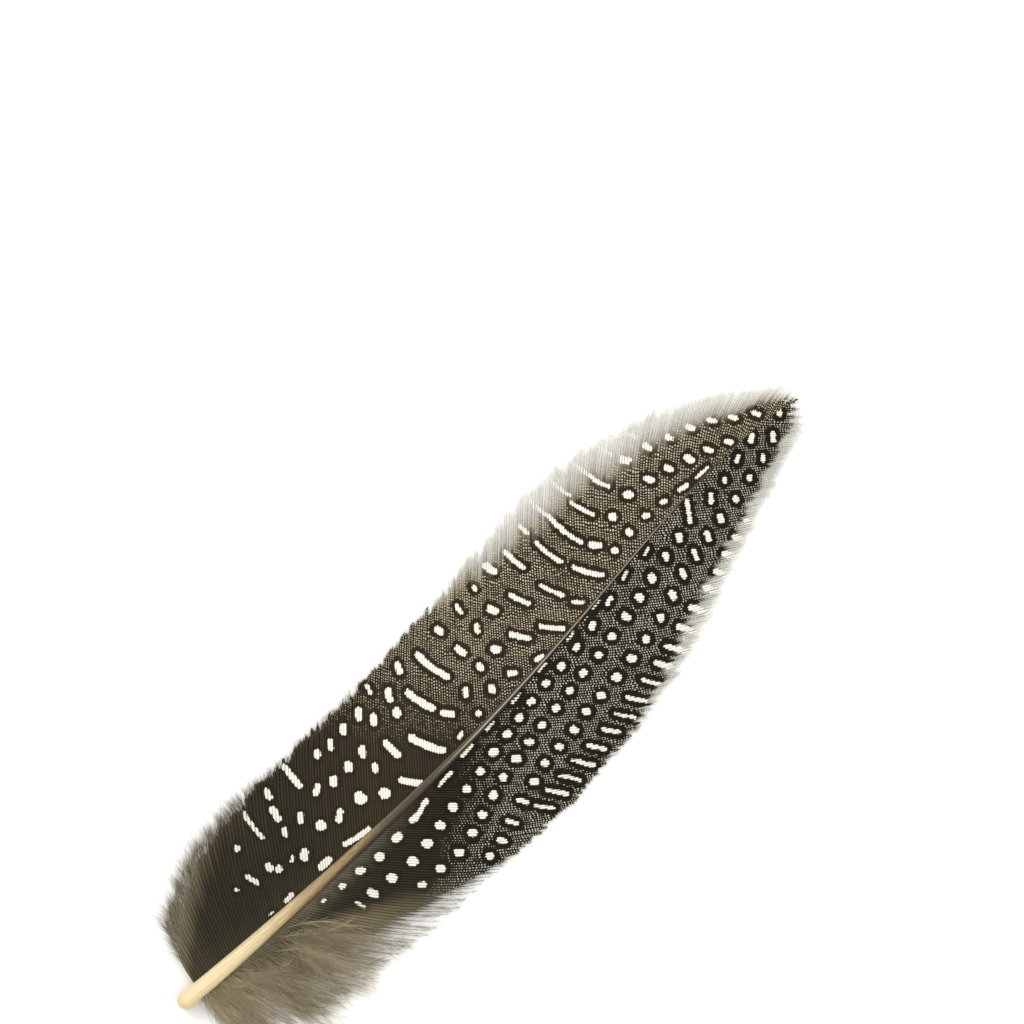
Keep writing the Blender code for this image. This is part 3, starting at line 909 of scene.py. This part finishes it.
def plug(node, given):
    """Fills a node's inputs by name or number: an amount is linked and a number is typed in."""
    for key, value in given.items():
        if isinstance(value, Amount):
            node.id_data.links.new(value.socket, node.inputs[key])
        else:
            node.inputs[key].default_value = value


def put(tree, kind, given=None, out=0, **settings):
    """Adds a node, sets its properties, fills its inputs and returns one output."""
    node = tree.nodes.new(kind)
    for key, value in settings.items():
        setattr(node, key, value)
    plug(node, given or {})
    return Amount(node.outputs[out])


def tree_of(values):
    """The graph that the first amount among the values belongs to."""
    return next(value.socket.id_data for value in values if isinstance(value, Amount))


def calc(operation, *values, clamp=False):
    """One Math node on the values."""
    given = dict(enumerate(values))
    return put(tree_of(values), "ShaderNodeMath", given, operation=operation, use_clamp=clamp)


# %% Ramps, colours and noise


def spread(value, at_low, at_high, low=0.0, high=1.0, curve="LINEAR"):
    """at_low + (at_high - at_low) * (value - low) / (high - low), held at both ends."""
    return put(tree_of([value]), "ShaderNodeMapRange",
               {"Value": value, "From Min": low, "From Max": high, "To Min": at_low, "To Max": at_high},
               interpolation_type=curve)


def ramp_up(value, low, high):
    """Smoothly from 0 at low to 1 at high."""
    return spread(value, 0.0, 1.0, low, high, "SMOOTHSTEP")


def blend(share, first, second, kind="MIX"):
    """The first colour where share is 0 and the second where it is 1."""
    given = {0: share, 6: first, 7: second}
    return put(tree_of(given.values()), "ShaderNodeMix", given, out=2,
               data_type="RGBA", blend_type=kind, clamp_factor=True)


def noise(place, scale, detail, roughness=0.5):
    """Soft noise from 0 to 1."""
    return put(place.socket.id_data, "ShaderNodeTexNoise",
               {"Vector": place, "Scale": scale, "Detail": detail, "Roughness": roughness})


def point(x, y, z=0.0):
    """A place for a noise, put together from amounts."""
    return put(tree_of((x, y, z)), "ShaderNodeCombineXYZ", {"X": x, "Y": y, "Z": z})


def facts_of(tree, *names):
    """The numbers that the mesh carries under those names."""
    return [put(tree, "ShaderNodeAttribute", out="Fac", attribute_name=name) for name in names]


def own_luck(barb):
    """One random number from 0 to 1 for each barb."""
    return put(barb.socket.id_data, "ShaderNodeTexWhiteNoise", {"W": barb}, noise_dimensions="1D")


def srgb(red, green, blue):
    """A colour as seen on a screen, 0 to 255, turned into the linear light that shaders use."""
    seen = np.array([red, green, blue]) / 255
    linear = np.where(seen <= 0.04045, seen / 12.92, ((seen + 0.055) / 1.055) ** 2.4)
    return (*linear.tolist(), 1.0)


# %% Groups and new materials


def new_group(name, inputs, outputs):
    """An empty node group, its inputs as amounts, and its end node. All sockets hold one number,
    but for an input without a usual value, which holds a place."""
    group = bpy.data.node_groups.new(name, "ShaderNodeTree")
    for label, usual in inputs.items():
        kind = "NodeSocketVector" if usual is None else "NodeSocketFloat"
        socket = group.interface.new_socket(label, in_out="INPUT", socket_type=kind)
        if usual is not None:
            socket.default_value = usual
    for label in outputs:
        group.interface.new_socket(label, in_out="OUTPUT", socket_type="NodeSocketFloat")
    start, end = group.nodes.new("NodeGroupInput"), group.nodes.new("NodeGroupOutput")
    return group, [Amount(start.outputs[label]) for label in inputs], end


def use_group(tree, group, given):
    """Places a group in a graph and returns its outputs by name."""
    node = tree.nodes.new("ShaderNodeGroup")
    node.node_tree = group
    plug(node, given)
    return {socket.name: Amount(socket) for socket in node.outputs}


def new_material(name):
    """A material, its graph and its shader."""
    material = bpy.data.materials.new(name)
    material.use_nodes = True
    return material, material.node_tree, material.node_tree.nodes["Principled BSDF"]


# %% [markdown]
# ## Pearl marks and speckles as groups
#
# On the real feather the pigment is laid down barb by barb while it grows, so a mark's edge is
# stepped: each barb starts and stops on its own. The mesh gives the distance to the nearest mark
# at a few places across each barb. The first group roughens it a little and turns it into the
# ivory mark and into the dark ring around it, where no speckles grow.
#
# The speckles are rows of tiny dots, one on each barb, that join up into wavy lines. The second
# group counts along each barb in steps of about 0.6 mm, shifts the count with soft noise so that
# neighbours line up in waves, and keeps the middle of each step.

# %% Pearl mark group
EDGE_ROUGH = 0.6         # mm between the smallest and largest shift of a mark's edge
RING_ROUGH = 1.3         # the same for the end of the dark ring
RING_FADE = 0.35         # mm over which the ring ends


def make_pearl_group():
    """edge = distance + rough * (noise - 1/2). The mark is where edge is below 0 and the ring where
    it is below Ring, itself shifted by a second noise."""
    group, (distance, barb, along, ring), end = new_group(
        "pearl marks", {"Distance": 1.0, "Barb": 0.0, "Along": 0.0, "Ring": 0.95}, ("Mark", "Ring"))
    edge = distance + (noise(point(along, barb), 1.7, 1.0) - 0.5) * EDGE_ROUGH
    ring_end = ring + (noise(point(along, barb * 0.56), 0.9, 2.0) - 0.5) * RING_ROUGH
    plug(end, {"Mark": 1.0 - ramp_up(edge, -0.17, -0.01),
               "Ring": ramp_up(edge, ring_end + RING_FADE, ring_end)})
    return group


pearl_group = make_pearl_group()

# %% Speckle group
SPECKLE_STEP = 0.61      # mm from one dot to the next on a barb
DOT_SHARE = 0.23         # half the length of a dot of size 1, in steps
DOT_REACH = 0.54         # half its width, in halves of the strip


def make_speckle_group():
    """count = along / step + waves + a part of the barb's number and luck. A dot is the ellipse
    (offset from the middle of the step / its reach)^2 + (place across / its reach)^2 < size."""
    group, (along, barb, strip, place, density, distance), end = new_group(
        "speckles", {"Along": 0.0, "Barb": 0.0, "Strip": 0.0, "Place": None, "Density": 1.0,
                     "Distance": 1.0}, ("Dots",))
    shift = noise(place, 260.0, 2.0, 0.55) * 2.6 + barb * 0.16 + own_luck(barb) * 0.5
    count = along / SPECKLE_STEP + shift + calc("MINIMUM", distance, 3.0) * 0.28
    tooth = abs(calc("FRACT", count) - 0.5) / DOT_SHARE
    sideways = (strip + 0.05) / DOT_REACH
    round_dot = tooth * tooth + sideways * sideways
    luck = put(group, "ShaderNodeTexWhiteNoise", {"Vector": point(calc("FLOOR", count), barb)},
               noise_dimensions="3D")
    size = (luck * 1.2 + noise(place, 150.0, 2.0) * 0.75) * density
    dot = ramp_up(round_dot / calc("MAXIMUM", size, 0.02), 1.15, 0.55)
    plug(end, {"Dots": dot * ramp_up(size, 0.12, 0.4)})
    return group


speckle_group = make_speckle_group()

# %% Fine ridge group
RIDGE_TURNS = 48.0       # radians of the ridges' wave for each mm along a barb
RIDGE_SLANT = 9.0        # radians by which they lag at the strip's edges


def make_ridge_group():
    """Barbules slant away from the crest: height = (sin(turns * along - slant * |strip|) + 1) / 2."""
    group, (along, strip), end = new_group("barbule ridges", {"Along": 0.0, "Strip": 0.0}, ("Height",))
    wave = calc("SINE", along * RIDGE_TURNS - abs(strip) * RIDGE_SLANT)
    plug(end, {"Height": wave * 0.5 + 0.5})
    return group


ridge_group = make_ridge_group()
print("node groups", [group.name for group in (pearl_group, speckle_group, ridge_group)])

# %% [markdown]
# ## Barb material
#
# Both vanes use one recipe. The outer vane is a warm dark brown that grows lighter at its frayed
# edge, and the inner one is nearly black. From the bottom up: the ground colour with its own
# tone for each barb, the pale frayed edge, the grey-brown down, the speckles, the dark ring and
# the ivory mark. Before the speckles, the colour is darkened towards each strip's edges as painted
# shade in the grooves between barbs. A soft noise also makes it lighter and darker, partly as the
# vane's own uneven tone and partly as painted light and shade of its slight waves. The mark's edge
# is toothed, because it reaches a little further along a barb's crest than at its sides. The
# underside shows the same pattern, duller, because barbs are thin.

# %% Barb material
IVORY = srgb(238, 235, 221)
RING_SHADE = srgb(230, 223, 215)
UNDERSIDE = srgb(112, 102, 86)
TOOTH_MIDDLE = 0.4       # where the outline stays, from 0 at the crest to 1 at the strip's edge
TOOTH_DEPTH = 0.20       # mm from a tooth's point on the crest to the notch at the edge
SPECKLES_SEEN = 0.92


def barb_material(name, ground, base, misty, dots, tan, pale, downy, ring, haze):
    """Each step is blend(amount, colour so far, next colour), where an amount goes from 0 to 1."""
    material, tree, shader = new_material(name)
    place = put(tree, "ShaderNodeTexCoord", out="Object")
    far, barb, strip, share = facts_of(tree, "far", "barb", "strip", "share")
    mark, frayed, fluff = facts_of(tree, "mark", "frayed", "downy")
    speckle, under = facts_of(tree, "speckle", "under")
    off_crest = abs(strip)
    toothed = mark + (off_crest - TOOTH_MIDDLE) * TOOTH_DEPTH
    pearl = use_group(tree, pearl_group, {"Distance": toothed, "Barb": barb, "Along": far, "Ring": ring})
    density = speckle * (1.0 - ramp_up(frayed, 0.3, 0.9)) * (1.0 - pearl["Ring"])
    speck = use_group(tree, speckle_group, {"Along": far, "Barb": barb, "Strip": strip, "Place": place,
                                            "Density": density, "Distance": mark})

    # cloud: a soft noise that makes the vane lighter and darker, partly its own uneven tone and partly
    # painted light and shade of its slight waves; it also sets the roughness
    cloud = spread(noise(place, 60.0, 3.0), 0.78, 1.25)
    # groove: painted shade that darkens each strip towards its edges, where the grooves between barbs lie;
    # weaker at the base, in the down and at the frayed edge
    groove = (1.0 - fluff) * ramp_up(share, -0.1, 0.5) * 0.5
    groove = calc("SUBTRACT", groove, frayed * 0.7, clamp=True) * ramp_up(off_crest, 0.45, 1.0)
    tone = spread(own_luck(barb), 0.88, 1.12) * cloud * (1.0 - groove)

    colour = blend(ramp_up(share, 0.16, 0.42), base, ground)
    sheen = (1.0 - ramp_up(far, 0.5, 8.0)) * (1.0 - ramp_up(share, 0.20, 0.42))
    colour = blend(sheen, colour, misty)
    webs = blend(ramp_up(frayed, 0.0, haze * 0.7), colour, tan)
    webs = blend(ramp_up(frayed, haze * 0.3, haze), webs, pale)
    cores = blend(ramp_up(frayed, 0.05, 0.95), colour, pale)
    in_core = 1.0 - ramp_up(off_crest / (frayed * 1.2 + 1.0), 0.20, 0.50)
    colour = blend(in_core * 0.9, webs, cores)
    open_down = calc("MAXIMUM", ramp_up(far, 2.0, 9.0), 1.0 - ramp_up(share, 0.08, 0.18))
    half_downy = tuple(0.55 * plain + 0.45 * soft for plain, soft in zip(base, downy))
    colour = blend(fluff, colour, blend(open_down, half_downy, downy))
    grey = put(tree, "ShaderNodeCombineColor", {0: tone, 1: tone, 2: tone})
    colour = blend(1.0, colour, grey, "MULTIPLY")
    colour = blend(speck["Dots"] * SPECKLES_SEEN, colour, dots)
    ring_seen = pearl["Ring"] * (1.0 - ramp_up(frayed, 0.0, 0.3))
    colour = blend(ring_seen, colour, blend(1.0, colour, RING_SHADE, "MULTIPLY"))
    mark_seen = pearl["Mark"] * (1.0 - fluff) * spread(share, 0.78, 1.0, 0.12, 0.30)
    colour = blend(mark_seen, colour, IVORY)
    colour = blend(under, colour, blend(0.45, colour, UNDERSIDE))

    ridges = use_group(tree, ridge_group, {"Along": far, "Strip": strip})
    bump = put(tree, "ShaderNodeBump", {"Height": ridges["Height"], "Strength": 0.25,
                                        "Distance": 0.00003})
    plug(shader, {"Base Color": colour, "Normal": bump, "Roughness": spread(cloud, 0.42, 0.62),
                  "Specular IOR Level": 0.12})
    return material


outer_barbs = barb_material(
    "outer barbs", ground=srgb(54, 46, 33), base=srgb(45, 40, 28), misty=srgb(56, 50, 36),
    dots=srgb(216, 203, 172), tan=srgb(186, 172, 150), pale=srgb(228, 226, 216),
    downy=srgb(106, 96, 75), ring=0.72, haze=0.60)
inner_barbs = barb_material(
    "inner barbs", ground=srgb(36, 33, 24), base=srgb(50, 45, 33), misty=srgb(104, 98, 82),
    dots=srgb(206, 202, 180), tan=srgb(196, 192, 176), pale=srgb(240, 240, 232),
    downy=srgb(112, 102, 79), ring=0.85, haze=0.30)

# %% [markdown]
# ## Loose hairs and down
#
# A loose barbule is clear horn with a little pigment at its root, so the fringe is pale, and
# white where a mark's column runs out into it. Down is grey-brown and differs from strand to
# strand.

# %% Hair materials


def fringe_material(name, root_colour, tip_colour, downy):
    """Tip colour by 0.3 * place along the hair + 0.85 * how frayed the vane is there."""
    material, tree, shader = new_material(name)
    frayed, hair, mark, fluff = facts_of(tree, "frayed", "hair", "mark", "downy")
    towards_tip = calc("ADD", hair * 0.3, ramp_up(frayed, 0.0, 0.25) * 0.85, clamp=True)
    pearl = use_group(tree, pearl_group, {"Distance": mark, "Ring": 0.4})
    colour = blend(pearl["Mark"], blend(towards_tip, root_colour, tip_colour), IVORY)
    plug(shader, {"Base Color": blend(fluff, colour, downy), "Roughness": 0.6,
                  "Specular IOR Level": 0.3})
    return material


def down_material(name, dark, light):
    """Light by 0.75 * the strand's tone (its own, darkened by painted shade for hairs by the vane) + 0.25 *
    place along the hair.
    """
    material, tree, shader = new_material(name)
    tone, hair = facts_of(tree, "tone", "hair")
    plug(shader, {"Base Color": blend(tone * 0.75 + hair * 0.25, dark, light), "Roughness": 0.75,
                  "Specular IOR Level": 0.2})
    return material


outer_hair = fringe_material("outer fringe", srgb(92, 80, 60), srgb(230, 227, 216), srgb(130, 117, 90))
inner_hair = fringe_material("inner fringe", srgb(80, 72, 54), srgb(240, 239, 230), srgb(146, 132, 102))
down_stuff = down_material("down", srgb(104, 91, 64), srgb(228, 214, 178))

# %% [markdown]
# ## Horn
#
# The quill is cream horn, smooth and a little see-through. Over the first third of the feather
# brown pigment comes in as long streaks, first on the side of the inner vane, until the shaft is
# dark. The side towards the inner vane is darkened further by painted shade. From there to near
# the tip one thin pale line, a painted highlight, runs on its crest.

# %% Horn material


def horn_material():
    """Cream, tan and brown follow one another along the shaft, at a share that streaks and the side
    shift. Four tones are then laid over: painted shade on the inner side, flecks, a dark edge of
    painted shade on the inner side and the crest's line, a painted highlight."""
    material, tree, shader = new_material("horn")
    share, side, crest = facts_of(tree, "share", "side", "crest")
    place = point(share * 9.0, side * 3.0, crest * 3.0)
    streak, fine = noise(place, 2.2, 5.0, 0.6), noise(place, 11.0, 3.0)
    grain = ramp_up(fine, 0.35, 0.65)
    cream = blend(ramp_up(streak, 0.35, 0.7), srgb(232, 214, 170), srgb(216, 194, 146))
    tan = blend(grain, srgb(172, 148, 102), srgb(118, 94, 60))
    brown = blend(grain, srgb(84, 73, 54), srgb(50, 42, 30))
    deep_brown = blend(fine, srgb(66, 54, 38), srgb(38, 31, 22))
    brown = blend(ramp_up(share, 0.42, 0.54), brown, deep_brown)
    shifted = share + (streak - 0.5) * 0.16 - side * 0.035
    colour = blend(ramp_up(shifted, 0.09, 0.22), cream, tan)
    colour = blend(ramp_up(shifted, 0.22, 0.34), colour, brown)

    # Painted shade: the side of the shaft towards the inner vane, turned from the light, is darkened, near
    # the quill as a broad band and further up as a dark edge
    inwards = side * -1.0
    painted_inner_shade = ramp_up(inwards, 0.62, 0.90) * ramp_up(share, 0.05, 0.17)
    flecks = ramp_up(side, 0.30, 0.80) * ramp_up(fine, 0.42, 0.62) * ramp_up(share, 0.04, 0.14)
    edge = ramp_up(inwards, 0.05, 0.60) * ramp_up(share, 0.17, 0.27)
    # A painted highlight: a thin pale line along the crest, from about two fifths of the way up to near the
    # tip
    line = ramp_up(crest, 0.955, 0.998) * ramp_up(share, 0.38, 0.48) * (1.0 - ramp_up(share, 0.74, 0.88))
    painted_highlight_tone = blend(ramp_up(share, 0.30, 0.50), srgb(168, 144, 98), srgb(178, 172, 152))
    for seen, strength, tone in ((painted_inner_shade, 0.8, srgb(62, 46, 32)), (flecks, 0.55, srgb(120, 96, 64)),
                                 (edge, 0.85, srgb(46, 37, 25)), (line, 0.85, painted_highlight_tone)):
        colour = blend(seen * strength, colour, tone)

    upper = ramp_up(share, 0.2, 0.5)
    bump = put(tree, "ShaderNodeBump", {"Height": fine, "Strength": 0.25, "Distance": 0.00008})
    plug(shader, {"Base Color": colour, "Roughness": spread(fine, 0.25, 0.42) + upper * 0.2,
                  "Normal": bump, "Coat Weight": (1.0 - upper) * 0.2,
                  "Specular IOR Level": 0.3, "Coat Roughness": 0.2})
    return material


horn = horn_material()

# %% Materials onto pieces
worn = {"outer_vane": outer_barbs, "inner_vane": inner_barbs, "outer_fringe": outer_hair,
        "inner_fringe": inner_hair, "down_barbs": down_stuff, "down_barbules": down_stuff,
        "quill_and_shaft": horn}
for name, material in worn.items():
    pieces[name].data.materials.append(material)
    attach(pieces[name], "root")
    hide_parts("feather")
    "quill" if name == "quill_and_shaft" else "barbs"
print("materials on", len(worn), "pieces")

# %% [markdown]
# ## Table, light and camera
#
# The feather was photographed from straight above on a white ground, in soft daylight from the
# upper left. The camera stands over the point that the middle of the picture shows, and is
# turned so that the shaft runs up to the right as in the photograph.

# %% Floor and lights
FLOOR_REACH = 1.5
FLOOR_DROP = 0.0002
floor_mesh = bpy.data.meshes.new("floor")
floor_mesh.from_pydata([(x * FLOOR_REACH, y * FLOOR_REACH, -FLOOR_DROP)
                        for x, y in ((-1, -1), (1, -1), (1, 1), (-1, 1))], [], [(0, 1, 2, 3)])
floor = bpy.data.objects.new("floor", floor_mesh)
bpy.context.scene.collection.objects.link(floor)
floor_stuff, _, floor_shader = new_material("pale floor")
plug(floor_shader, {"Base Color": srgb(247, 246, 243), "Roughness": 0.9, "Specular IOR Level": 0.1})
floor.data.materials.append(floor_stuff)

PHOTO_SIDE = 1024                       # pixels along each side of the photograph
QUILL_PIXEL = np.array([180.0, 1005.0])
TIP_PIXEL = np.array([795.0, 400.0])
run = TIP_PIXEL - QUILL_PIXEL
pixel = SHAFT_LENGTH * CHORD_SHARE / np.hypot(*run)
tilt = math.atan2(-run[1], run[0])      # how far the shaft is turned up from the picture's right
to_middle = (np.array([PHOTO_SIDE / 2, PHOTO_SIDE / 2]) - QUILL_PIXEL) * pixel


def moved(start, right, up, over):
    """A point as far right, up and over from the start as the picture shows them."""
    return start + np.array([right * math.cos(tilt) + up * math.sin(tilt),
                             up * math.cos(tilt) - right * math.sin(tilt), over])


middle = moved(QUILL_END, to_middle[0], -to_middle[1], 0.0)


def area_light(name, offset, size, power, colour=(1.0, 1.0, 1.0)):
    """A square lamp at an offset from the picture's middle (right, up, over), aimed at it."""
    lamp = bpy.data.lights.new(name, "AREA")
    lamp.size, lamp.energy, lamp.color = size, power, colour
    holder = bpy.data.objects.new(name, lamp)
    holder.location = moved(middle, *offset)
    holder.rotation_euler = (Vector(middle) - holder.location).to_track_quat("-Z", "Y").to_euler()
    bpy.context.scene.collection.objects.link(holder)


area_light("window", (-0.55, 0.60, 0.75), 0.7, 7.4, (1.0, 0.985, 0.96))
area_light("overhead", (0.15, -0.1, 1.1), 1.4, 7.4)
area_light("fill", (0.8, -0.3, 0.5), 0.9, 2.4, (0.96, 0.98, 1.0))
world = bpy.data.worlds.new("studio")
world.use_nodes = True
plug(world.node_tree.nodes["Background"], {"Color": (1.0, 1.0, 1.0, 1.0), "Strength": 0.45})
bpy.context.scene.world = world
bpy.context.scene.view_settings.view_transform = "Standard"

# %% Camera
LENS = 150.0
SENSOR = 36.0
lens_data = bpy.data.cameras.new("camera")
lens_data.lens, lens_data.sensor_width = LENS, SENSOR
camera = bpy.data.objects.new("camera", lens_data)
distance = PHOTO_SIDE * pixel * LENS / SENSOR
overhead = Matrix.Translation(Vector(moved(middle, 0.0, 0.0, distance)))
camera.matrix_world = overhead @ Matrix.Rotation(-tilt, 4, "Z")
bpy.context.scene.collection.objects.link(camera)
bpy.context.scene.camera = camera
print("camera", round(distance, 3), "m above the table, turned", round(math.degrees(tilt), 1), "degrees")

# %% Finish
bpy.context.view_layer.update()
